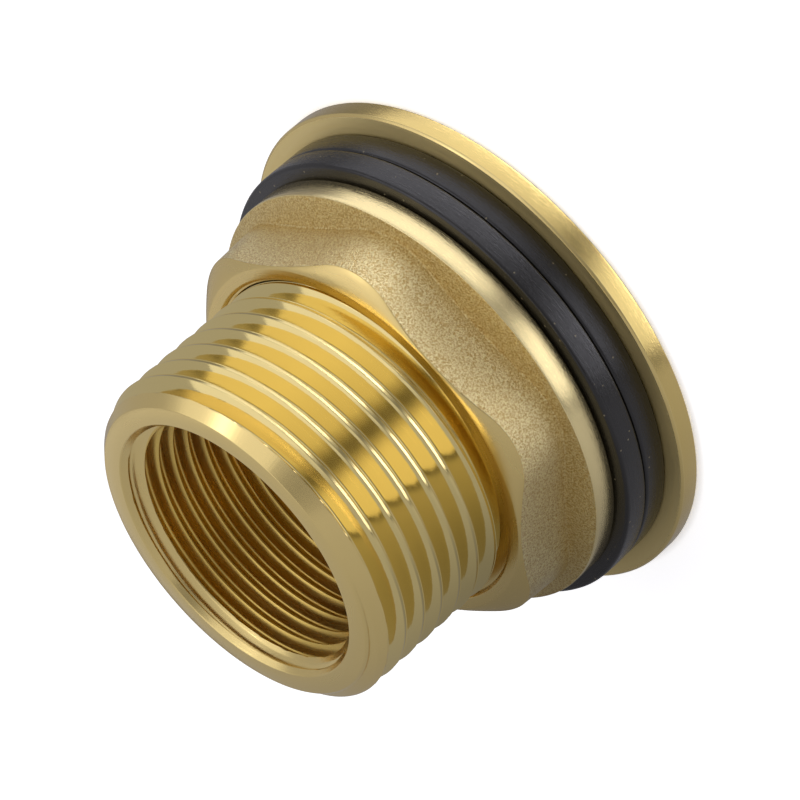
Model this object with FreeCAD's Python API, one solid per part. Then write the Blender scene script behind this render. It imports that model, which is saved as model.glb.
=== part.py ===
import FreeCAD, Part

import math
import os

# A brass tank connector. A flanged, threaded body goes through a hole in the tank wall,
# and a backnut clamps the wall between two rubber washers.
# Millimetres. Z is the thread axis: the flange's back face lies at z = 0 and the spigot
# points up. One flat of the nut faces -Y.

# Flanged body, outside: a 1 inch parallel male thread with its crests turned down a little
male_major_diameter = 33.0
male_thread_depth = 1.36
spigot_length = 30.2
spigot_end_chamfer = 1.45
relief_groove_width = 2.0
flange_lip = 8.25
flange_thickness = 2.1
flange_edge_chamfer = 0.2

# Flanged body, inside: a 3/4 inch parallel female thread in front of a plain waterway
female_minor_diameter = 24.12
mouth_countersink_width = 1.2
mouth_countersink_depth = 1.6
tapped_depth = 18.0
waterway_step = 0.56
waterway_chamfer = 0.5

# Rubber washers, two alike
washer_bore_clearance = 0.3
washer_width = 6.05
washer_thickness = 2.5
washer_edge_chamfer = 0.2

# Backnut: a turned rim, a cast shoulder that slopes up to the hexagon, a turned front face
nut_height = 8.8
nut_rim_lip = 5.0
nut_rim_height = 2.6
nut_rim_chamfer = 0.3
shoulder_angle = 13.0
hexagon_wall = 1.75
hexagon_draft_angle = 3.0
hexagon_corner_radius = 7.5
nut_face_lip = 1.6
nut_bevel_angle = 30.0
thread_running_clearance = 0.05
nut_countersink_width = 0.5
nut_countersink_depth = 0.3

# Places that follow from the sizes
male_radius = male_major_diameter / 2
flange_washer_z = flange_thickness
nut_washer_z = flange_washer_z + washer_thickness
nut_z = nut_washer_z + washer_thickness
spigot_end_z = flange_thickness + spigot_length

AXIS = FreeCAD.Vector(0, 0, 1)
ORIGIN = FreeCAD.Vector(0, 0, 0)


def turned(profile):
    """A solid of revolution about Z from a closed outline of (radius, z) points."""
    points = [FreeCAD.Vector(r, 0, z) for r, z in profile]
    outline = Part.makePolygon(points + points[:1])
    return Part.Face(outline).revolve(ORIGIN, AXIS, 360)


def flanged_body():
    """Flange, relief groove, male thread cylinder and the stepped bore, in one turned piece."""
    flange_radius = male_radius + flange_lip
    groove_radius = male_radius - male_thread_depth
    groove_end_z = flange_thickness + relief_groove_width
    tapped_radius = female_minor_diameter / 2
    waterway_radius = tapped_radius - waterway_step
    step_z = spigot_end_z - tapped_depth
    return turned([
        (waterway_radius + waterway_chamfer, 0),
        (flange_radius - flange_edge_chamfer, 0),
        (flange_radius, flange_edge_chamfer),
        (flange_radius, flange_thickness - flange_edge_chamfer),
        (flange_radius - flange_edge_chamfer, flange_thickness),
        (groove_radius, flange_thickness),
        (groove_radius, groove_end_z),
        (male_radius, groove_end_z + male_thread_depth),
        (male_radius, spigot_end_z - spigot_end_chamfer),
        (male_radius - spigot_end_chamfer, spigot_end_z),
        (tapped_radius + mouth_countersink_width, spigot_end_z),
        (tapped_radius, spigot_end_z - mouth_countersink_depth),
        (tapped_radius, step_z),
        (waterway_radius, step_z - waterway_step),
        (waterway_radius, waterway_chamfer),
    ])


def washer(bottom_z):
    """A flat rubber ring, loose on the male thread, with its outer edges a little worn off."""
    inner = male_radius + washer_bore_clearance
    outer = inner + washer_width
    top_z = bottom_z + washer_thickness
    return turned([
        (inner, bottom_z),
        (outer - washer_edge_chamfer, bottom_z),
        (outer, bottom_z + washer_edge_chamfer),
        (outer, top_z - washer_edge_chamfer),
        (outer - washer_edge_chamfer, top_z),
        (inner, top_z),
    ])


def hexagon_outline(across_flats, z):
    """A regular hexagon with rounded corners, one flat facing -Y, as a closed wire."""
    corner_distance = across_flats / 2 / math.cos(math.pi / 6)
    centre_distance = corner_distance - hexagon_corner_radius / math.cos(math.pi / 6)
    edges = []
    last_end = None
    first_start = None
    for k in range(6):
        middle = math.radians(60 * k)
        centre = FreeCAD.Vector(centre_distance * math.cos(middle), centre_distance * math.sin(middle), z)
        start, top, end = [
            centre + FreeCAD.Vector(math.cos(a), math.sin(a), 0) * hexagon_corner_radius
            for a in (middle - math.pi / 6, middle, middle + math.pi / 6)
        ]
        if last_end is None:
            first_start = start
        else:
            edges.append(Part.makeLine(last_end, start))
        edges.append(Part.Arc(start, top, end).toShape())
        last_end = end
    edges.append(Part.makeLine(last_end, first_start))
    return Part.Wire(edges)


def hexagon_prism(bottom_z, top_z):
    """The nut's hexagon with draft: its flats lean in towards the turned front face."""
    across_flats = male_major_diameter + 2 * hexagon_wall
    spread = 2 * (top_z - bottom_z) * math.tan(math.radians(hexagon_draft_angle))
    bottom = hexagon_outline(across_flats + spread, bottom_z)
    top = hexagon_outline(across_flats, top_z)
    return Part.makeLoft([bottom, top], True, True)


def backnut():
    """Flanged hexagon nut with a bevelled front and a countersink at both ends of its bore."""
    rim_radius = male_radius + nut_rim_lip
    face_radius = male_radius + nut_face_lip
    bore_radius = male_radius + thread_running_clearance
    sink_radius = bore_radius + nut_countersink_width
    rim_top_z = nut_z + nut_rim_height
    top_z = nut_z + nut_height
    shoulder_rise = (rim_radius - bore_radius) * math.tan(math.radians(shoulder_angle))
    skirt = turned([
        (0, nut_z),
        (rim_radius - nut_rim_chamfer, nut_z),
        (rim_radius, nut_z + nut_rim_chamfer),
        (rim_radius, rim_top_z),
        (bore_radius, rim_top_z + shoulder_rise),
        (0, rim_top_z + shoulder_rise),
    ])
    hexagon = hexagon_prism(nut_z + nut_rim_height / 2, top_z)
    bevel_drop = (rim_radius - face_radius) * math.tan(math.radians(nut_bevel_angle))
    blank = turned([
        (0, nut_z),
        (rim_radius, nut_z),
        (rim_radius, top_z - bevel_drop),
        (face_radius, top_z),
        (0, top_z),
    ])
    solid = skirt.fuse(hexagon.common(blank)).removeSplitter()
    bore = turned([
        (0, nut_z),
        (sink_radius, nut_z),
        (bore_radius, nut_z + nut_countersink_depth),
        (bore_radius, top_z - nut_countersink_depth),
        (sink_radius, top_z),
        (0, top_z),
    ])
    return solid.cut(bore)


def main():
    nodes = {
        "flanged_body": flanged_body(),
        "flange_washer": washer(flange_washer_z),
        "nut_washer": washer(nut_washer_z),
        "backnut": backnut(),
    }
    os.makedirs("parts", exist_ok=True)
    for name, shape in nodes.items():
        shape.exportStep("parts/" + name + ".step")
        box = shape.BoundBox
        print(name, len(shape.Solids), "solid", shape.isValid(), round(shape.Volume, 1), "mm3",
              "z", round(box.ZMin, 2), round(box.ZMax, 2))


main()
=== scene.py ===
# %% [markdown]
# # A brass tank connector
# A tank connector carries a pipe through the wall of a water tank. Its flanged, threaded body goes
# through a hole in the wall, and a backnut clamps the wall between two rubber washers. Here it lies
# as it is sold, with the nut run down against both washers. The CAD model is loaded first as a fixed
# frame: it says where each piece is and how far the nut travels, and it stays as it is. Each piece is
# then drawn again as a surface of its own, because the CAD model leaves both screw threads out.

import math

import bmesh
import bpy
import numpy as np
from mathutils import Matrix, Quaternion, Vector


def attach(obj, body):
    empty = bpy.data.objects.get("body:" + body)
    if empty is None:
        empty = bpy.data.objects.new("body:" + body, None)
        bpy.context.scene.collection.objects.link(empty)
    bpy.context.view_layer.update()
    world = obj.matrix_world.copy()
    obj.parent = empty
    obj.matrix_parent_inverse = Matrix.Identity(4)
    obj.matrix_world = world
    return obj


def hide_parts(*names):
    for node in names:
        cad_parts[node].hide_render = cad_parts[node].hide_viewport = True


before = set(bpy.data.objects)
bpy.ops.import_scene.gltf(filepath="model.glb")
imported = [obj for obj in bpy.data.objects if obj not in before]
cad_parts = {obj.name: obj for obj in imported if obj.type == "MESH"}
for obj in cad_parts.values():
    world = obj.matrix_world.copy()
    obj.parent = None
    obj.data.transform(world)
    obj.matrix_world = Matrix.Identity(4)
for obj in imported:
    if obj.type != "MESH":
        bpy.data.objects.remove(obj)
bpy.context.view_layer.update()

# %% [markdown]
# ## Sizes
# The sizes are those of the CAD source, in millimetres. The axis of the threads is Z, the back of the
# flange lies at z = 0, and the open end of the spigot is up. Both threads are standard pipe threads,
# which makes them the best known sizes of all: 11 turns to the inch outside, 14 inside. The body's
# sizes come first, and the nut and the washers bring their own.

# %% Sizes of the flanged body in millimetres
MM = 0.001
FULL_TURN = 2 * math.pi

spigot_end_z = 32.3
flange_top_z = 2.1
flange_radius = 24.75
flange_chamfer = 0.2
groove_end_z = 4.1
male_crest_radius = 16.5
end_chamfer = 1.45
mouth_radius = 13.26
mouth_depth = 1.6
female_crest_radius = 12.06
tapped_depth = 18.0
waterway_radius = 11.5
waterway_chamfer = 0.5
print("whole part:", 2 * flange_radius, "mm wide,", spigot_end_z, "mm long")

# %% [markdown]
# ## The shape of a pipe thread
# A pipe thread has flanks at 55 degrees to each other. Its roots are rounded by the tool, and its
# crests are flat, because they are the bar or the bore as it was turned before the thread was cut.
# The profile is worked out once for one pitch, as pairs of axial distance and radius, and it serves
# the spigot, its mouth and the nut alike.

# %% One pitch of a thread
FLANK = math.tan(math.radians(27.5))


def thread_profile(pitch, pitch_radius, crest_radius, root_share, edge=0.045, lean=0.0):
    """Axial distance from a crest's middle and radius, over one pitch.
    On a flank the height over the pitch line is a quarter of pitch / tan(27.5 deg) less the distance
    / tan(27.5 deg). The crest cuts it off, with its corner broken over about the width of an edge, and
    an arc fills the root. The arc's radius is a share of the pitch: 0.137 by the standard, less for a
    sharper tool and more for a worn one. The three points on the crest's low side may lean in."""
    side = 1.0 if crest_radius > pitch_radius else -1.0
    sharp = pitch / 4 / FLANK
    crest = side * (crest_radius - pitch_radius)
    crest_half = (sharp - crest) * FLANK
    break_end = crest_half + 0.45 * edge
    arc = root_share * pitch
    slope = math.atan(1 / FLANK)
    root = arc / math.cos(slope) - arc - sharp
    flank_end = pitch / 2 - arc * math.sin(slope)
    middle = (break_end + flank_end) / 2
    half = [
        (crest_half - 1.3 * edge, crest),
        (crest_half - edge, crest),
        (crest_half - 0.35 * edge, crest - 0.12 * edge),
        (break_end, sharp - break_end / FLANK),
        (middle, sharp - middle / FLANK),
        (flank_end, sharp - flank_end / FLANK),
    ]
    for turn in (0.6 * slope, 0.25 * slope):
        half.append((pitch / 2 - arc * math.sin(turn), root + arc * (1 - math.cos(turn))))
    distance, height = np.array(half).T
    low_height = height[::-1].copy()
    low_height[-3:] -= lean
    whole = np.concatenate([-distance[::-1], distance, [pitch / 2]])
    heights = np.concatenate([low_height, height, [root]])
    return whole, pitch_radius + side * heights


male_pitch = 25.4 / 11
male_profile = thread_profile(male_pitch, pitch_radius=15.74, crest_radius=male_crest_radius,
                              root_share=0.075, edge=0.04, lean=0.08)
female_pitch = 25.4 / 14
female_profile = thread_profile(female_pitch, pitch_radius=12.80, crest_radius=female_crest_radius,
                                root_share=0.21, edge=0.035)
nut_profile = thread_profile(male_pitch, pitch_radius=15.945, crest_radius=15.32, root_share=0.137)
roots = {"male": male_profile[1].min(), "female": female_profile[1].max(), "nut": nut_profile[1].max()}
print("points on one pitch:", len(male_profile[0]))
print("root radii in mm:", {name: round(float(radius), 2) for name, radius in roots.items()})

# %% [markdown]
# ## From a profile to a skin
# Every piece is one closed grid: its rows run along the outline and its columns once round the axis.
# On a thread the rows climb with the helix, so that each crest and each root keeps a row of its own
# and stays sharp with few faces. At both ends the climbing rows are held back by a level plane, and
# the points that fall together there are welded, as they are at the seam.


# %% Rows on an outline and on a thread
def around(count):
    """Equal angles once round the axis, with the first one again at the end."""
    return np.linspace(0, FULL_TURN, count + 1)


def eased(corners, ease, steps=4):
    """An open outline whose inner corners are worn round: each corner P becomes the curve
    (1-t)^2 A + 2t(1-t) P + t^2 B. A and B lie on its two sides, the ease away, or 0.45 of the shorter
    side's length where that is less."""
    corners = np.array(corners, float)
    inner = corners[1:-1]
    back = corners[:-2] - inner
    ahead = corners[2:] - inner
    back_length = np.linalg.norm(back, axis=1, keepdims=True)
    ahead_length = np.linalg.norm(ahead, axis=1, keepdims=True)
    reach = np.minimum(np.minimum(back_length, ahead_length) * 0.45, ease)
    a = inner + back / back_length * reach
    b = inner + ahead / ahead_length * reach
    t = np.linspace(0, 1, steps)[None, :, None]
    curve = (1 - t) ** 2 * a[:, None] + 2 * t * (1 - t) * inner[:, None] + t**2 * b[:, None]
    return np.concatenate([corners[:1], curve.reshape(-1, 2), corners[-1:]])


def level_rows(heights, angles):
    """Heights of rows that are level all round."""
    return np.array(heights, float)[:, None] * np.ones((1, len(angles)))


def turned_rows(outline, angles):
    """Rows of radius and height that are level all round, one for each point of the outline."""
    radius, height = np.array(outline, float).T
    return level_rows(radius, angles), level_rows(height, angles)


def crest_height(angles, pitch, start_z, start_angle):
    """Height of the crest's middle at each angle: a right-hand thread climbs one pitch a turn."""
    return start_z + pitch * (angles - start_angle) / FULL_TURN


def thread_radius(height, angles, profile, pitch, start):
    """Radius of the threaded wall at any height and angle, read off the profile."""
    distance, radius = profile
    crest = crest_height(angles, pitch, *start)
    phase = (height - crest + pitch / 2) % pitch - pitch / 2
    return np.interp(phase, distance, radius, period=pitch)


def climbing_rows(low, high, angles, profile, pitch, start):
    """Heights of rows that follow the helix between two level planes, lowest row first."""
    crest = crest_height(angles, pitch, *start)
    first = math.floor((low - crest.max()) / pitch) - 1
    last = math.ceil((high - crest.min()) / pitch) + 1
    steps = (np.arange(first, last)[:, None] * pitch + profile[0]).ravel()
    return np.clip(crest + steps[:, None], low, high)


quarter_rise = crest_height(FULL_TURN / 4, male_pitch, 0, 0)
print("the male thread climbs", round(quarter_rise, 3), "mm in a quarter turn")

# %% [markdown]
# ### From rows to a mesh
# The grid's points and faces go into the mesh as whole arrays, which is much quicker than adding them
# one by one. A weld closes the seam and the places where rows fall together. All faces are wound the
# same way, so their normals point outward, and a count of the edges that don't have two faces shows
# whether the skin is closed.

# %% A skin from sections of rows
# Points nearer to each other than this become one, and edges that turn by more than this stay sharp
WELD_DISTANCE = 0.006 * MM
CREASE_ANGLE = math.radians(38)


def skin(name, sections, angles):
    """Mesh of a closed grid, in metres. A section holds rows of radius and height and the number of
    their finish, which covers the strip from each row to the next. Point (j, i) is (radius cos,
    radius sin, height) at angle i. The last row joins the first, and the last column falls on the
    first and is welded to it."""
    radius = np.vstack([section[0] for section in sections])
    height = np.vstack([section[1] for section in sections])
    finish = np.concatenate([np.full(len(section[0]), section[2]) for section in sections])
    points = np.stack([radius * np.cos(angles), radius * np.sin(angles), height], -1) * MM
    rows, columns = radius.shape
    j, i = np.meshgrid(np.arange(rows), np.arange(columns - 1), indexing="ij")
    here = j * columns + i
    above = (j + 1) % rows * columns + i
    quads = np.stack([here, here + 1, above + 1, above], -1).reshape(-1, 4)
    mesh = bpy.data.meshes.new(name)
    mesh.vertices.add(rows * columns)
    mesh.vertices.foreach_set("co", points.ravel())
    mesh.loops.add(quads.size)
    mesh.loops.foreach_set("vertex_index", quads.ravel())
    mesh.polygons.add(len(quads))
    mesh.polygons.foreach_set("loop_start", np.arange(0, quads.size, 4))
    mesh.polygons.foreach_set("material_index", np.repeat(finish, columns - 1))
    mesh.update(calc_edges=True)
    welded = bmesh.new()
    welded.from_mesh(mesh)
    bmesh.ops.remove_doubles(welded, verts=welded.verts, dist=WELD_DISTANCE)
    open_edges = sum(len(edge.link_faces) != 2 for edge in welded.edges)
    welded.to_mesh(mesh)
    welded.free()
    mesh.set_sharp_from_angle(angle=CREASE_ANGLE)
    piece = bpy.data.objects.new(name, mesh)
    bpy.context.scene.collection.objects.link(piece)
    triangles = sum(len(face.vertices) - 2 for face in mesh.polygons)
    print(name, "triangles:", triangles, "open edges:", open_edges)
    return piece


# %% [markdown]
# ## The body
# The body is turned from brass bar in one piece: flange, under-cut groove, spigot, and the bore with
# its finer thread. The male thread runs out through the chamfer at the spigot's end, and the female
# one through the countersink at the mouth. There no row can follow the curve in which thread and cone
# meet, so both places get level rows only 0.05 mm apart, and the wall is whichever surface cuts deeper.

# %% The body's threaded walls
# Height and angle of one point on the middle of a crest
MALE_START = (29.09, math.radians(265.8))
FEMALE_START = (28.85, math.radians(85.8))

body_angles = around(192)
groove_radius = male_profile[1].min()
bore_radius = female_profile[1].min()
end_edge = male_profile[1].max() - end_chamfer
tapped_end_z = spigot_end_z - tapped_depth
# How the root rises where the tool comes in, and how far it stays below the nut's crests
entry_depth = 0.3
entry_slope = 0.5
nut_clearance = 0.06


def male_wall(height):
    """The male thread, cut off by the relief groove's cone below and the end chamfer above. Its root
    rises over the last millimetre, where the tool comes in, but stays below the nut's crests."""
    thread = thread_radius(height, body_angles, male_profile, male_pitch, MALE_START)
    entry = end_edge + entry_depth - entry_slope * np.maximum(spigot_end_z - entry_depth - height, 0)
    thread = np.maximum(thread, np.minimum(entry, nut_profile[1].min() - nut_clearance))
    groove = groove_radius + np.maximum(height - groove_end_z, 0)
    chamfer = end_edge + (spigot_end_z - height)
    return np.minimum(thread, np.minimum(groove, chamfer))


def female_wall(height):
    """The female thread, opened by the mouth's countersink above. It fades out over one pitch at its
    inner end, and over 0.6 mm just under the mouth's edge."""
    thread = thread_radius(height, body_angles, female_profile, female_pitch, FEMALE_START)
    fade = np.clip((height - tapped_end_z) / female_pitch, 0, 1)
    fade = fade * np.clip((spigot_end_z - 0.1 - height) / 0.6, 0, 1)
    thread = bore_radius + (thread - bore_radius) * fade
    slope = (mouth_radius - bore_radius) / mouth_depth
    return np.maximum(thread, mouth_radius - (spigot_end_z - height) * slope)


print("flat ring at the spigot's end, in mm:", mouth_radius, "to", round(float(end_edge), 2))

# %% [markdown]
# ### Outlines and rows of the body
# The rest of the body is plain turning, so a few corners say it all. They could be a curve with a
# screw modifier, but as a list they go into the same grid as the threads. Every corner is worn round a
# little, because light catches a real edge as a thin line. On the flange, the chamfer at the front
# edge is bright, the front face inside it is dull, and the rest is combed by a coarse feed.

# %% The body's outlines
edge_ease = 0.06
flange_outline = eased([
    (waterway_radius + waterway_chamfer, 0),
    (flange_radius - flange_chamfer, 0),
    (flange_radius, flange_chamfer),
    (flange_radius, flange_top_z - flange_chamfer),
    (flange_radius - flange_chamfer, flange_top_z),
    (groove_radius, flange_top_z),
    (groove_radius, groove_end_z),
], edge_ease)
end_break = 0.03
end_outline = [
    (end_edge + end_break, spigot_end_z - end_break),
    (end_edge - end_break, spigot_end_z),
    (mouth_radius + end_break, spigot_end_z),
    (mouth_radius, spigot_end_z - end_break),
]
bore_outline = eased([
    (bore_radius, tapped_end_z),
    (waterway_radius, tapped_end_z - (bore_radius - waterway_radius)),
    (waterway_radius, waterway_chamfer),
    (waterway_radius + waterway_chamfer, 0),
], 0.1)

TURNED, THREAD, FLANGE, BORE, FLANGE_FACE = range(5)
at_edge = flange_outline.sum(axis=1) > flange_radius + flange_top_z - flange_chamfer - edge_ease - 0.01
at_front = flange_outline[:, 1] > flange_top_z - 1e-6
flange_finish = np.where(at_front[:-1] & at_front[1:], FLANGE_FACE,
                         np.where(at_edge[:-1] & at_edge[1:], TURNED, FLANGE))

# The thread's own rows end a little before a cone, and closer level rows go on from there
fine_margin = 0.3
fine_step = 0.05
fine_male_z = spigot_end_z - end_chamfer - fine_margin
fine_mouth_z = spigot_end_z - mouth_depth - fine_margin
male_z = climbing_rows(groove_end_z, fine_male_z, body_angles, male_profile, male_pitch, MALE_START)
chamfer_z = level_rows(np.arange(fine_male_z, spigot_end_z, fine_step)[1:], body_angles)
mouth_z = level_rows(np.arange(spigot_end_z, fine_mouth_z, -fine_step)[1:], body_angles)
female_z = climbing_rows(tapped_end_z, fine_mouth_z, body_angles, female_profile, female_pitch,
                         FEMALE_START)[::-1]
print("rows on the male thread:", len(male_z), "on the female one:", len(female_z))

# %% [markdown]
# ### One skin for the body
# The rows are stacked from the flange's back round its rim, up the spigot, over its end and down the
# bore, and the last row joins the first. Flange, spigot and bore as pieces of their own would be
# easier to make, but they would overlap inside, and one skin is closed and has a true volume. Each
# section carries the number of the finish that its tool leaves.

# %% The turned body
turned_body = skin("turned_body", [
    (*turned_rows(flange_outline[:-1], body_angles), flange_finish),
    (male_wall(male_z), male_z, THREAD),
    (male_wall(chamfer_z), chamfer_z, TURNED),
    (*turned_rows(end_outline, body_angles), TURNED),
    (female_wall(mouth_z), mouth_z, TURNED),
    (female_wall(female_z), female_z, BORE),
    (*turned_rows(bore_outline[1:-1], body_angles), BORE),
], body_angles)
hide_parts("flanged_body")
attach(turned_body, "spigot")

# %% [markdown]
# ## The backnut
# The nut starts as a casting: a hexagon whose sides lean in with the draft of its mould, blended into
# a sloping skirt. A lathe then faces its front, bevels the six corners at 30 degrees, turns its rim and
# cuts its thread, which leaves the hexagon's sides and the skirt grainy.

# %% Sizes of the backnut in millimetres
nut_bottom_z = 7.1
nut_top_z = 15.9
nut_rim_radius = 21.5
nut_rim_top_z = 9.7
nut_rim_chamfer = 0.3
nut_apothem = 18.25
nut_corner_radius = 7.5
nut_face_radius = 18.1
nut_sink_radius = 17.05
nut_sink_depth = 0.3
draft = math.tan(math.radians(3.0))
skirt_slope = math.tan(math.radians(13.0))
bevel_slope = math.tan(math.radians(30.0))
print("backnut:", 2 * nut_rim_radius, "mm wide,", round(nut_top_z - nut_bottom_z, 1), "mm high,",
      2 * nut_apothem, "mm across flats")

# %% [markdown]
# ### The hexagon
# A hexagon could be a six-sided cylinder, cut by booleans, but they leave ragged faces where a cone
# meets a flat. In polar form it is a wall whose distance from the axis changes with the angle, so the
# grid of a turned piece carries it.


# %% The hexagon in polar form
def hexagon_radius(angles, apothem):
    """Distance from the axis to a hexagon with rounded corners, one of which lies at angle 0.
    With d the angle from the nearest corner, a flat is apothem / cos(30 deg - d), and the corner arc
    is c cos d + sqrt(r^2 - c^2 sin^2 d), where c is the distance of the arc's centre."""
    d = np.abs((np.degrees(angles) + 30) % 60 - 30)
    d = np.radians(d)
    r = nut_corner_radius
    c = (apothem - r) / math.cos(math.pi / 6)
    tangent = np.arctan2(r * 0.5, c + r * math.cos(math.pi / 6))
    flat = apothem / np.cos(math.pi / 6 - d)
    arc = c * np.cos(d) + np.sqrt(np.maximum(r**2 - (c * np.sin(d)) ** 2, 0))
    return np.where(d < tangent, arc, flat)


nut_angles = around(240)
top_side = hexagon_radius(nut_angles, nut_apothem)
print("from the axis to a flat and to a corner, in mm:", round(float(top_side.min()), 2),
      round(float(top_side.max()), 2))

# %% [markdown]
# ### Sides, skirt and bevel
# Cut through the axis at any angle, the nut shows straight lines: the side with its draft, the skirt
# and the bevel. Where two of them meet is worked out and not modelled by eye, so the curve in which
# the bevel cuts a side is exact. A small arc blends side and skirt, as the inner corner of a casting
# is always round.

# %% The nut's sides, skirt and bevel
# Radius of the arc at the foot of the sides
blend = 0.2


def blend_arc(side, lean):
    """Rows of radius and height on the arc that blends a side into the skirt, from the side down.
    The side is r = side + lean (top - z), the skirt z = rim top + s (rim radius - r), and the arc of
    radius b touches both. So its centre has the radius R = (side + lean (top - rim top - s rim radius)
    + b sqrt(1 + lean^2) - lean b sqrt(1 + s^2)) / (1 - lean s), and the height rim top
    + s (rim radius - R) + b sqrt(1 + s^2)."""
    over_skirt = blend * math.sqrt(1 + skirt_slope**2)
    centre_r = (side + lean * (nut_top_z - nut_rim_top_z - skirt_slope * nut_rim_radius)
                + blend * np.sqrt(1 + lean**2) - lean * over_skirt) / (1 - lean * skirt_slope)
    centre_z = nut_rim_top_z + skirt_slope * (nut_rim_radius - centre_r) + over_skirt
    start = math.pi + np.arctan(lean)
    end = 1.5 * math.pi - math.atan(skirt_slope)
    turn = start + (end - start) * np.linspace(0, 1, 7)[:, None]
    return centre_r + blend * np.cos(turn), centre_z + blend * np.sin(turn)


lean = draft * top_side / nut_apothem
arc_r, arc_z = blend_arc(top_side, lean)
skirt_r = arc_r[-1] + (nut_rim_radius - arc_r[-1]) * np.array([0.35, 0.7, 1.0])[:, None]
skirt_z = arc_z[-1] - (skirt_r - arc_r[-1]) * skirt_slope

# The bevel is the cone z = top - b (r - face radius), b its slope, and cuts the side at this edge
edge_r = (top_side - lean * bevel_slope * nut_face_radius) / (1 - lean * bevel_slope)
edge_z = nut_top_z - (edge_r - nut_face_radius) * bevel_slope
bevel_width = edge_r - nut_face_radius
bevel_r = np.stack([edge_r - bevel_width, edge_r - 0.5 * bevel_width, edge_r - 0.04])
bevel_z = nut_top_z - (bevel_r - nut_face_radius) * bevel_slope

# Rows on the side, by their depth under the edge. Where the side is too short they stay over the arc
down = np.array([0.04, 0.1, 1.2, 2.4, 3.6])[:, None]
side_z = np.maximum(edge_z - down, arc_z[0] + 0.02 * (4 - down))
side_r = top_side + lean * (nut_top_z - side_z)

# The rim's top edge is broken, over 0.05 mm
rim_z = skirt_z[-1] - np.array([0.5, 0.05, 0.015])[:, None]
rim_r = nut_rim_radius - np.array([0, 0, 0.02])[:, None] * np.ones_like(rim_z)
skirt_r[-1] -= 0.05
print("bevel in mm, on a flat:", round(float(bevel_width.min()), 2), "at a corner:",
      round(float(bevel_width.max()), 2))

# %% [markdown]
# ### The nut's thread
# The nut has the spigot's pitch, half a pitch on, so that its crests stand in the spigot's roots. Both
# have a gap to the other, as real threads do, and a turn with its travel carries one past the other.
# It shows in the nut's bore where the nut stands past the spigot's end.

# %% The nut's threaded wall
NUT_START = (MALE_START[0] + male_pitch / 2, MALE_START[1])
lead = 0.35


def nut_wall(height):
    """The nut's thread, opened by a lead-in cone at both ends."""
    thread = thread_radius(height, nut_angles, nut_profile, male_pitch, NUT_START)
    above = nut_profile[1].min() + lead - (nut_top_z - nut_sink_depth - height)
    below = nut_profile[1].min() + lead - (height - nut_bottom_z - nut_sink_depth)
    return np.maximum(thread, np.maximum(above, below))


high_z = level_rows(np.arange(nut_top_z - nut_sink_depth, nut_top_z - 0.4 - lead, -0.06), nut_angles)
low_start = nut_bottom_z + nut_sink_depth
low_z = level_rows(np.arange(low_start, low_start + lead, 0.12)[::-1], nut_angles)
turn_z = climbing_rows(low_z.max(), high_z.min(), nut_angles, nut_profile, male_pitch, NUT_START)[::-1]
print("rows on the nut's thread:", len(turn_z))

# %% [markdown]
# ### One skin for the nut
# As on the body, the rows are stacked into one closed skin: out along the underside, up the rim, over
# the skirt, up the sides, in over the bevel and down the bore. What the mould has shaped has one
# finish, and what the lathe has cut has two others.

# %% The cast backnut
CAST, NUT_FACE, NUT_RIM = range(3)

bottom_outline = eased([
    (nut_sink_radius, nut_bottom_z),
    (nut_rim_radius - nut_rim_chamfer, nut_bottom_z),
    (nut_rim_radius, nut_bottom_z + nut_rim_chamfer),
    (nut_rim_radius, nut_rim_top_z - 0.5),
], edge_ease)
# Where the countersink's cone meets the thread
sink_end = 16.77
top_outline = eased([
    (nut_face_radius - 0.15, nut_top_z),
    (nut_sink_radius, nut_top_z),
    (sink_end + 0.02, nut_top_z - nut_sink_depth + 0.02),
    (sink_end, nut_top_z - nut_sink_depth),
], 0.05)
cast_backnut = skin("cast_backnut", [
    (*turned_rows(bottom_outline[:-1], nut_angles), NUT_RIM),
    (rim_r, rim_z, NUT_RIM),
    (skirt_r[::-1], skirt_z[::-1], CAST),
    (arc_r[::-1], arc_z[::-1], CAST),
    (side_r[:0:-1], side_z[:0:-1], CAST),
    (side_r[:1], side_z[:1], NUT_FACE),
    (bevel_r[::-1], bevel_z[::-1], NUT_FACE),
    (*turned_rows(top_outline, nut_angles), NUT_FACE),
    (nut_wall(high_z), high_z, NUT_FACE),
    (nut_wall(turn_z), turn_z, NUT_FACE),
    (nut_wall(low_z), low_z, NUT_FACE),
], nut_angles)
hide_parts("backnut")
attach(cast_backnut, "nut")

# %% [markdown]
# ## The rubber washers
# Each washer is a flat ring cut from a moulded rubber tube. The knife leaves its edges a little rounded,
# and a ring of rubber is never quite round, so its outside wanders by a few hundredths of a millimetre.

# %% The two washers
washer_inner = 16.8
washer_outer = 22.85
washer_thickness = 2.5
washer_angles = around(180)


def rubber_washer(name, node, body, bottom_z, turn):
    """A ring with a worn rectangle as its outline. Its outer radius wanders round the axis in two
    waves and in five smaller ones, and lies up to 0.09 mm inside the full size."""
    top_z = bottom_z + washer_thickness
    middle = (washer_inner + washer_outer) / 2
    outline = eased([
        (middle, bottom_z), (washer_outer, bottom_z), (washer_outer, top_z),
        (washer_inner, top_z), (washer_inner, bottom_z), (middle, bottom_z),
    ], 0.35, 6)[:-1]
    radius, height = turned_rows(outline, washer_angles)
    wander = (0.03 * np.sin(2 * washer_angles + turn)
              + 0.015 * np.sin(5 * washer_angles + 2 * turn) - 0.045)
    piece = skin(name, [(radius + wander * (radius > middle), height, 0)], washer_angles)
    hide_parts(node)
    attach(piece, body)
    return piece


nut_washer_z = flange_top_z + washer_thickness
washer_at_flange = rubber_washer("washer_at_flange", "flange_washer", "spigot", flange_top_z, 0.4)
washer_at_nut = rubber_washer("washer_at_nut", "nut_washer", "washer_carrier", nut_washer_z, 2.1)

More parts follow.
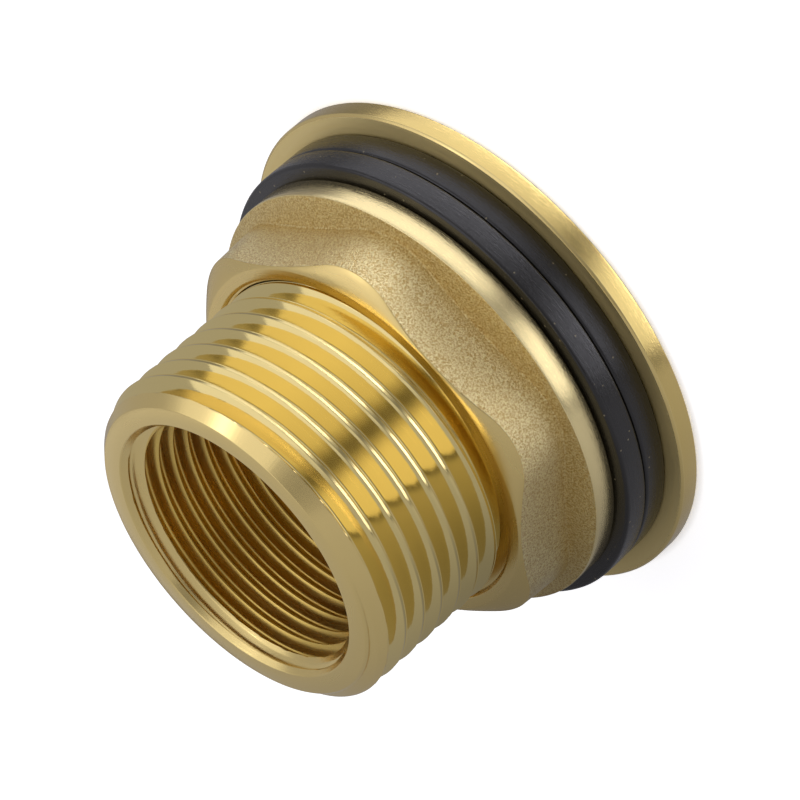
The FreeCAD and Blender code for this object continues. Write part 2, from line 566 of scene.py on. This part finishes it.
# %% [markdown]
# ## Finishes
# One function turns an sRGB colour into the linear one that Blender uses, and one adds a node. The
# others put the usual nodes in short form. Every pattern reads Object coordinates, which are metres
# here, so a scale is one over a real size.


# %% Helpers for materials
def linear(code):
    """Linear RGBA of an sRGB hex colour: c / 12.92 when dark, ((c + 0.055) / 1.055) ^ 2.4 otherwise."""
    c = np.array([int(code[k:k + 2], 16) for k in (0, 2, 4)]) / 255
    c = np.where(c <= 0.04045, c / 12.92, ((c + 0.055) / 1.055) ** 2.4)
    return (*c, 1.0)


def add(tree, kind, inputs=None, **settings):
    """Adds one node. An input is given by index or name, as the socket that feeds it or as its value.
    A setting is the value of a property, or of an input that has the setting's name."""
    node = tree.nodes.new(kind)
    for key, value in settings.items():
        if hasattr(node, key):
            setattr(node, key, value)
        else:
            node.inputs[key.replace("_", " ")].default_value = value
    for key, value in (inputs or {}).items():
        if isinstance(value, bpy.types.NodeSocket):
            tree.links.new(value, node.inputs[key])
        else:
            node.inputs[key].default_value = value
    return node


def maths(tree, operation, *values):
    """The result of one calculation with numbers, each of them a socket or a constant."""
    return add(tree, "ShaderNodeMath", dict(enumerate(values)), operation=operation).outputs[0]


def vector_maths(tree, operation, *values):
    """The result of one calculation with vectors, which is a number for a length or a product."""
    node = add(tree, "ShaderNodeVectorMath", dict(enumerate(values)), operation=operation)
    return node.outputs["Value" if operation in ("LENGTH", "DISTANCE", "DOT_PRODUCT") else "Vector"]


def ranged(tree, value, start, end, low=0.0, high=1.0):
    """A number that goes evenly from low to high while the value goes from start to end."""
    node = add(tree, "ShaderNodeMapRange", {"Value": value}, From_Min=start, From_Max=end,
               To_Min=low, To_Max=high)
    return node.outputs[0]


def colour_mix(tree, share, first, second, blend_type="MIX"):
    """A mix of two colours. Inputs 6 and 7 of the node are its colours, and output 2 is the result."""
    node = add(tree, "ShaderNodeMix", {"Factor": share, 6: first, 7: second}, data_type="RGBA",
               blend_type=blend_type)
    return node.outputs[2]


def object_place(tree):
    """The place on the object, in metres."""
    return add(tree, "ShaderNodeTexCoord").outputs["Object"]


def new_material(name):
    """An empty material and its node tree."""
    material = bpy.data.materials.new(name)
    material.use_nodes = True
    material.node_tree.nodes.clear()
    return material, material.node_tree


print("linear value of the sRGB grey 808080:", round(float(linear("808080")[0]), 3))

# %% [markdown]
# ### Turned brass
# Free-machining brass straight off the lathe: bright, with the tool's fine feed lines running round
# every face. The lines tilt the surface only across themselves, so a lamp is drawn out into streaks
# along the axis and keeps sharp ends round it. The thread was cut last, with a finishing tool, and is
# the brightest part. The big rims had a coarser feed, and the flange's front face is the dullest.
# Light that bounces twice between the thread's flanks comes back a much deeper gold. A wave texture
# would make all lines alike, so they are a noise, in coordinates that hardly change round the axis.


# %% Turned brass
def lathe_coordinates(tree, stretch):
    """Coordinates in which a pattern runs round the axis: the direction from the axis times a small
    length, and height plus radius along the profile. Faces and cylinders then both get rings."""
    place = object_place(tree)
    flat = vector_maths(tree, "MULTIPLY", place, (1, 1, 0))
    direction = vector_maths(tree, "NORMALIZE", flat)
    small = vector_maths(tree, "MULTIPLY", direction, (stretch, stretch, stretch))
    height = add(tree, "ShaderNodeSeparateXYZ", {0: place}).outputs["Z"]
    along = maths(tree, "ADD", height, vector_maths(tree, "LENGTH", flat))
    lift = add(tree, "ShaderNodeCombineXYZ", {"Z": along})
    return vector_maths(tree, "ADD", small, lift.outputs[0])


def turned_brass(name, colour, bright, dull, grooves):
    """Brass whose roughness wanders between two values in rings, with feed lines of a given strength."""
    material, tree = new_material(name)
    rings = lathe_coordinates(tree, 1.6 * MM)
    fine = add(tree, "ShaderNodeTexNoise", {"Vector": rings}, Scale=1 / (0.10 * MM), Detail=3.0,
               Roughness=0.65)
    broad = add(tree, "ShaderNodeTexNoise", {"Vector": rings}, Scale=1 / (0.7 * MM), Detail=2.0)
    gloss = ranged(tree, broad.outputs["Fac"], 0.3, 0.7, bright, dull)
    bump = add(tree, "ShaderNodeBump", {"Height": fine.outputs["Fac"]}, Strength=grooves,
               Distance=0.010 * MM)
    brass = add(tree, "ShaderNodeBsdfPrincipled", {"Roughness": gloss, "Normal": bump.outputs[0]},
                Base_Color=linear(colour), Metallic=1.0)
    add(tree, "ShaderNodeOutputMaterial", {"Surface": brass.outputs[0]})
    return material


# Ends and chamfers: soft streaks of light along the axis
turned_brass_finish = turned_brass("turned_brass", "edd48c", 0.16, 0.28, 0.6)
# The outside thread: almost a mirror, with white lines on its crests and gold flanks
thread_brass_finish = turned_brass("thread_brass", "edd892", 0.07, 0.12, 0.4)
# The bore: a deeper, warmer gold, painted in for light that bounces from wall to wall, in soft rings
bore_brass_painted_bounce_finish = turned_brass("bore_brass_painted_bounce", "e9c96e", 0.22, 0.32, 0.4)
# The flange's rim and back: a sharp shine, combed by coarse feed lines
flange_brass_finish = turned_brass("flange_brass", "e5cb80", 0.15, 0.25, 1.6)
# The flange's front face: dull, with hardly a reflection, and paler than the other brass, which paints
# light into a face in shade
flange_face_brass_painted_light_finish = turned_brass("flange_face_brass_painted_light", "f2dc98", 0.42, 0.56, 1.4)
# The nut's rim: combed like the flange's, and paler, which paints in a whitish veil of fine highlights
nut_rim_brass_painted_highlight_finish = turned_brass("nut_rim_brass_painted_highlight", "fce8aa", 0.15, 0.25, 1.6)
# The nut's front face, bevel and thread: a satin gold
nut_face_brass_finish = turned_brass("nut_face_brass", "edd38a", 0.22, 0.34, 0.9)
print("nodes in a turned finish:", len(turned_brass_finish.node_tree.nodes))

# %% [markdown]
# ### Cast brass
# The mould's sand leaves grains of about a fifth of a millimetre, and blasting makes them sparkle. The
# grain is a bump of steep little slopes, so each one mirrors another part of the room. The colour is a
# little darker on the skirt at the foot of the hexagon than on the sides.


# %% Cast brass
def cast_brass():
    """Brass as it left the mould: a grain that is pale on its tops, and a little darker on the skirt."""
    material, tree = new_material("cast_brass")
    place = object_place(tree)
    grain = add(tree, "ShaderNodeTexNoise", {"Vector": place}, Scale=1 / (0.17 * MM), Detail=3.0,
                Roughness=0.7)
    shade = ranged(tree, grain.outputs["Fac"], 0.38, 0.60)
    grained = colour_mix(tree, shade, linear("d0ae68"), linear("fff1b8"))
    height = add(tree, "ShaderNodeSeparateXYZ", {0: place}).outputs["Z"]
    # Darker on the skirt: below 10.4 mm the colour is multiplied by a pale tone, which fades out by 11.6
    # mm
    skirt_darkening = ranged(tree, height, 10.4 * MM, 11.6 * MM, 1.0, 0.0)
    skirt_darkened_colour = colour_mix(tree, skirt_darkening, grained, linear("f6efdc"), "MULTIPLY")
    bump = add(tree, "ShaderNodeBump", {"Height": grain.outputs["Fac"]}, Strength=1.0,
               Distance=0.15 * MM)
    brass = add(tree, "ShaderNodeBsdfPrincipled", {"Base Color": skirt_darkened_colour, "Normal": bump.outputs[0]},
                Metallic=1.0, Roughness=0.28)
    add(tree, "ShaderNodeOutputMaterial", {"Surface": brass.outputs[0]})
    return material


cast_brass_finish = cast_brass()
print("nodes in the cast finish:", len(cast_brass_finish.node_tree.nodes))

# %% [markdown]
# ### Washer rubber
# Black rubber with carbon filler: almost no colour, a dull sheen, and fine rings where it was cut. A
# few specks of pale dust cling to it.


# %% Washer rubber
def washer_rubber():
    """Cut rubber: dark, with a satin sheen in rings, and a few specks of dust."""
    material, tree = new_material("washer_rubber")
    rings = lathe_coordinates(tree, 1.2 * MM)
    fine = add(tree, "ShaderNodeTexNoise", {"Vector": rings}, Scale=1 / (0.13 * MM), Detail=4.0,
               Roughness=0.7)
    gloss = ranged(tree, fine.outputs["Fac"], 0.3, 0.7, 0.14, 0.32)
    bump = add(tree, "ShaderNodeBump", {"Height": fine.outputs["Fac"]}, Strength=0.8,
               Distance=0.035 * MM)
    cells = add(tree, "ShaderNodeTexVoronoi", {"Vector": object_place(tree)}, Scale=1 / (1.2 * MM))
    speck = ranged(tree, cells.outputs["Distance"], 0.09, 0.06)
    colour = colour_mix(tree, speck, linear("15120c"), linear("7c7258"))
    rubber = add(tree, "ShaderNodeBsdfPrincipled",
                 {"Base Color": colour, "Roughness": gloss, "Normal": bump.outputs[0]}, IOR=1.58)
    add(tree, "ShaderNodeOutputMaterial", {"Surface": rubber.outputs[0]})
    return material


washer_rubber_finish = washer_rubber()
print("nodes in the rubber:", len(washer_rubber_finish.node_tree.nodes))

# %% [markdown]
# ### Where each finish goes
# The finishes of a piece come in the order of the numbers that its sections carry.

# %% Finishes on the pieces
for piece, finishes in (
    (turned_body, (turned_brass_finish, thread_brass_finish, flange_brass_finish, bore_brass_painted_bounce_finish,
                   flange_face_brass_painted_light_finish)),
    (cast_backnut, (cast_brass_finish, nut_face_brass_finish, nut_rim_brass_painted_highlight_finish)),
    (washer_at_flange, (washer_rubber_finish,)),
    (washer_at_nut, (washer_rubber_finish,)),
):
    for finish in finishes:
        piece.data.materials.append(finish)
    print(piece.name, "finishes:", [finish.name for finish in finishes])

# %% [markdown]
# ## The studio
# The camera is a long lens that looks at the spigot's open end from above and is rolled well over, so
# that the axis points down to the left. The numbers come from a least-squares fit to the photograph.


# %% Camera
def toward(azimuth, elevation):
    """The unit vector of a compass direction in degrees."""
    a, e = math.radians(azimuth), math.radians(elevation)
    return np.array([math.cos(a) * math.cos(e), math.sin(a) * math.cos(e), math.sin(e)])


aim = Vector((0.312, -2.487, 11.67)) * MM
aim_distance = 461.5
back = Vector(toward(-92.97, 28.845))
roll = math.radians(-130.98)
lens = bpy.data.cameras.new("long_lens")
lens.lens = 239.5
lens.sensor_width = 36.0
lens.clip_start = 0.01
camera = bpy.data.objects.new("camera", lens)
bpy.context.scene.collection.objects.link(camera)
camera.rotation_mode = "QUATERNION"
camera.location = aim + back * aim_distance * MM
camera.rotation_quaternion = (-back).to_track_quat("-Z", "Y") @ Quaternion((0, 0, 1), roll)
bpy.context.scene.camera = camera
print("camera at", [round(1000 * c, 1) for c in camera.location], "mm")

# %% [markdown]
# ### Floor
# The floor is plain white. To the camera it adds a little light of its own, just enough to reach white
# where no shadow falls. Under the part the glow stops, so that the shadow at the flange stays, and it
# fades in across the flange's edge, which paints a thin contact shadow just outside the flange.


# %% Floor
def sheet(name, points, faces, material):
    """A flat piece of the set, which is no part of the object."""
    mesh = bpy.data.meshes.new(name)
    mesh.from_pydata(points.tolist(), [], faces)
    mesh.materials.append(material)
    piece = bpy.data.objects.new(name, mesh)
    bpy.context.scene.collection.objects.link(piece)
    return piece


def white_floor():
    """White paper, and a camera-only glow that fades in at the flange's edge, painting a contact shadow.
    """
    material, tree = new_material("white_floor")
    distance = vector_maths(tree, "LENGTH", object_place(tree))
    # Painted contact shadow: the glow rises from 23.4 to 25.4 mm, so the floor is darker just outside
    # the flange
    clear = ranged(tree, distance, 23.4 * MM, 25.4 * MM, 0.0, 0.66)
    seen = add(tree, "ShaderNodeLightPath").outputs["Is Camera Ray"]
    light = add(tree, "ShaderNodeEmission", {"Strength": maths(tree, "MULTIPLY", seen, clear)})
    paper = add(tree, "ShaderNodeBsdfDiffuse", Color=linear("f4f4f4"))
    both = add(tree, "ShaderNodeAddShader", {0: light.outputs[0], 1: paper.outputs[0]})
    add(tree, "ShaderNodeOutputMaterial", {"Surface": both.outputs[0]})
    return material


# Half the floor's width, and how far it lies under the part, in metres
half, drop = 4, 1e-5
square = np.array([(x * half, y * half, -drop) for x, y in ((-1, -1), (1, -1), (1, 1), (-1, 1))])
floor = sheet("floor", square, [(0, 1, 2, 3)], white_floor())
floor.visible_glossy = False
print("floor", 2 * half, "m wide, out of the reflections")

# %% [markdown]
# ### Cards in the reflections
# Bright brass is a mirror, so it looks like what stands round it. A few cards stand for that, and only
# reflections show them, in place of the floor. A far wall is shaded round the compass: a broad white
# part gives the thread its white crests and lights its flanks gold, and grey and dark parts beside it
# make the bands. A second card leans against the flange on the far side, dark where it comes close to
# the part, as a table is in the part's own shadow, and darker again towards its near end. A sheet of
# diffusing cloth hangs over the right side, with the camera's dark stand beside it, and a dark disc
# lies under the flange's opening.

# %% How a card shines
CARD = "ecebf5"


def grey(level):
    """A colour without a hue, for a stop of a ramp."""
    return (level, level, level, 1)


def shaded_level(tree, value, shades):
    """Brightness that follows pairs of place and level, and changes evenly between them."""
    first, last = shades[0][0], shades[-1][0]
    top = max(level for _, level in shades)
    ramp = add(tree, "ShaderNodeValToRGB", {"Fac": ranged(tree, value, first, last)})
    stops = ramp.color_ramp.elements
    for place, level in shades[1:-1]:
        stops.new((place - first) / (last - first)).color = grey(level / top)
    stops[0].color = grey(shades[0][1] / top)
    stops[-1].color = grey(shades[-1][1] / top)
    return maths(tree, "MULTIPLY", ramp.outputs["Color"], top / linear(CARD)[0])


def glow(tree, strength):
    """Makes a card shine, with a strength that its shading gives."""
    light = add(tree, "ShaderNodeEmission", {"Strength": strength}, Color=linear(CARD))
    add(tree, "ShaderNodeOutputMaterial", {"Surface": light.outputs[0]})


def reflected_card(name, points, faces, material):
    """A card that only reflections show: not the camera, and neither soft light nor shadows."""
    piece = sheet(name, points, faces, material)
    piece.visible_camera = False
    piece.visible_diffuse = False
    piece.visible_shadow = False
    return piece


print("a card's level of 1 takes the strength", round(float(1 / linear(CARD)[0]), 3))

# %% [markdown]
# ### The far wall
# What stands round a photographer's table is far off and mostly plain, so one round wall is enough
# for it. Its level follows the compass angle through a colour ramp, which is easier to adjust than
# many small cards.

# %% The far wall
# Pairs of compass angle in degrees and level
wall_shades = [
    (-180, 0.60), (-150, 1.00), (-110, 1.08), (-105, 0.95), (-99, 0.52), (-94, 0.22), (-88, 0.22),
    (-82, 0.52), (-75, 0.88), (-34, 1.12), (-10, 1.08), (10, 1.03), (13, 0.40), (18, 0.24), (34, 0.25),
    (50, 0.31), (70, 0.34), (95, 0.31), (180, 0.60),
]


def ring(radius, z, count):
    """Points once round the axis, in millimetres."""
    angles = around(count)[:-1]
    return np.stack([radius * np.cos(angles), radius * np.sin(angles), np.full(count, z)], -1)


def far_wall():
    """A round wall 0.6 m away and below the part. Its level follows atan2(y, x) in degrees, and
    where it is white it is about four times as bright lower down, as a table is in front of the part."""
    material, tree = new_material("far_wall")
    place = add(tree, "ShaderNodeSeparateXYZ", {0: object_place(tree)})
    turn = maths(tree, "DEGREES", maths(tree, "ARCTAN2", place.outputs["Y"], place.outputs["X"]))
    level = shaded_level(tree, turn, wall_shades)
    white = ranged(tree, level, 0.92, 1.04, 0.0, 3.4)
    table = ranged(tree, place.outputs["Z"], -555 * MM, -585 * MM)
    glow(tree, maths(tree, "ADD", level, maths(tree, "MULTIPLY", white, table)))
    radius, foot_z, top_z, sides = 600, -2400, -50, 72
    points = np.concatenate([ring(radius, foot_z, sides), ring(radius, top_z, sides)]) * MM
    faces = [(k, (k + 1) % sides, (k + 1) % sides + sides, k + sides) for k in range(sides)]
    return reflected_card("far_wall", points, faces, material)


far_wall()
print("levels round the far wall:", len(wall_shades))

# %% [markdown]
# ### The leaning card
# The flange and the far side of the spigot mirror something close by, which is darker the nearer it
# comes to them. A card that leans on both does this, with its level given by the distance from the
# place that it touches.

# %% The leaning card
# Pairs of distance in millimetres and level
lean_shades = [(0, 0.17), (12, 0.23), (25, 0.38), (40, 0.45), (70, 0.50), (110, 0.55), (180, 0.72)]


def leaning_card():
    """A card that leans on the flange and the spigot's end. With e the way up the card and w the level
    way along it, its corners are P + s e + t w, where P is on the flange's edge. Its level follows the
    distance from the place it touches, and its near end lies in a second shadow."""
    turn = math.radians(156)
    tilt = math.atan2(flange_radius - male_crest_radius, spigot_end_z - flange_top_z)
    touch = np.array([math.cos(turn), math.sin(turn), 0]) * (flange_radius + 0.3)
    up = np.array([-math.cos(turn) * math.sin(tilt), -math.sin(turn) * math.sin(tilt), math.cos(tilt)])
    along = np.array([-math.sin(turn), math.cos(turn), 0])
    corners = [(-140, -130), (350, -130), (350, 85), (-140, 85)]
    points = np.array([touch + s * up + t * along for s, t in corners]) * MM
    darkest = touch + 12 * up + 3 * along
    material, tree = new_material("leaning_card")
    place = object_place(tree)
    away = vector_maths(tree, "DISTANCE", place, darkest * MM)
    level = shaded_level(tree, maths(tree, "DIVIDE", away, MM), lean_shades)
    near = vector_maths(tree, "DOT_PRODUCT", place, along)
    shadow = ranged(tree, near, 58 * MM, 74 * MM, 1.0, 0.26)
    glow(tree, maths(tree, "MULTIPLY", level, shadow))
    return reflected_card("leaning_card", points, [(0, 1, 2, 3)], material)


leaning_card()
print("levels on the leaning card:", len(lean_shades))

# %% [markdown]
# ### Cloth, stand and disc
# The last cards stand for one thing each, so they are flat, and the compass directions of their
# corners give their shape. The cloth makes the long highlights and the stand a dark band between
# them. The disc keeps the room's light from coming up through the bore.
# The disc is painted shade: it stands for the floor in shade under the part.


# %% Cloth, stand and disc
def hanging_card(name, middle, outline, distance, material):
    """A flat card that faces the part. Each corner lies in its compass direction, on the plane at the
    given distance square to the middle direction: with m the middle one, d distance / (d . m)."""
    m = toward(*middle)
    corners = np.array([toward(*direction) for direction in outline])
    points = corners * (distance / (corners @ m))[:, None] * MM
    return reflected_card(name, points, [tuple(range(len(outline)))], material)


def lit_cloth(name, level, core_level, core, distance):
    """An even level with a core of another one, about 50 mm in radius, in a compass direction: the
    cloth is hotter there, near the direction of the softbox."""
    material, tree = new_material(name)
    away = vector_maths(tree, "DISTANCE", object_place(tree), toward(*core) * distance * MM)
    white = linear(CARD)[0]
    glow(tree, ranged(tree, away, 20 * MM, 75 * MM, core_level / white, level / white))
    return material


cloth_outline = [(-58, 20), (3, 20), (16, 34), (33, 47), (52, 62), (120, 80), (-150, 80), (-60, 62)]
stand_outline = [(-108, 16), (-79, 16), (-72, 70), (-115, 70)]
cloth_distance, stand_distance = 500, 620
hanging_card("diffuser", (-15, 50), cloth_outline, cloth_distance,
             lit_cloth("diffuser_cloth", 0.93, 2.6, (-14, 49), cloth_distance))
hanging_card("camera_stand", (-92, 45), stand_outline, stand_distance,
             lit_cloth("camera_black", 0.28, 0.24, (-92, 30), stand_distance))
# The disc under the bore is painted shade, for the floor in the part's shade
disc_radius, disc_z, disc_sides = 14, -0.02, 24
reflected_card("under_card", ring(disc_radius, disc_z, disc_sides) * MM, [tuple(range(disc_sides))],
               lit_cloth("painted_shade_under_bore", 0.16, 0.16, (0, 0), 1))
print("corners of the cloth:", len(cloth_outline), "of the stand:", len(stand_outline))

# %% [markdown]
# ### Light
# One large softbox lights the part from the right and above, near the cloth's hot core. The metal
# mirrors the cloth, so the lamp itself is left out of the reflections. The walls of the room are an even
# pale grey, and they are white where the camera looks past the floor.

# %% Room and lamp
world = bpy.data.worlds.new("studio_walls")
bpy.context.scene.world = world
world.use_nodes = True
tree = world.node_tree
tree.nodes.clear()
seen = add(tree, "ShaderNodeLightPath").outputs["Is Camera Ray"]
walls = add(tree, "ShaderNodeBackground", Color=linear(CARD), Strength=0.51)
white = add(tree, "ShaderNodeBackground", Color=linear("ffffff"), Strength=1.0)
room = add(tree, "ShaderNodeMixShader", {0: seen, 1: walls.outputs[0], 2: white.outputs[0]})
add(tree, "ShaderNodeOutputWorld", {"Surface": room.outputs[0]})


def softbox(name, azimuth, elevation, distance, width, height, level):
    """A rectangular lamp that faces the middle of the part from a compass direction, with its sizes in
    millimetres. Its power in watts is four times its area in square metres times its brightness,
    where 1 is white."""
    middle = Vector((0, 0, 15)) * MM
    place = Vector(toward(azimuth, elevation)) * distance * MM
    lamp = bpy.data.lights.new(name, "AREA")
    lamp.shape = "RECTANGLE"
    lamp.size = width * MM
    lamp.size_y = height * MM
    lamp.energy = 4 * width * height * MM**2 * level
    box = bpy.data.objects.new(name, lamp)
    bpy.context.scene.collection.objects.link(box)
    box.rotation_mode = "QUATERNION"
    box.rotation_quaternion = (-place).to_track_quat("-Z", "Y")
    box.location = place + middle
    box.visible_glossy = False
    return box


lamp_box = softbox("softbox_right", azimuth=-8, elevation=52, distance=500, width=424, height=364,
                   level=1.0)
print("softbox at", [round(1000 * c) for c in lamp_box.location], "mm")

bpy.context.scene.view_settings.view_transform = "Standard"
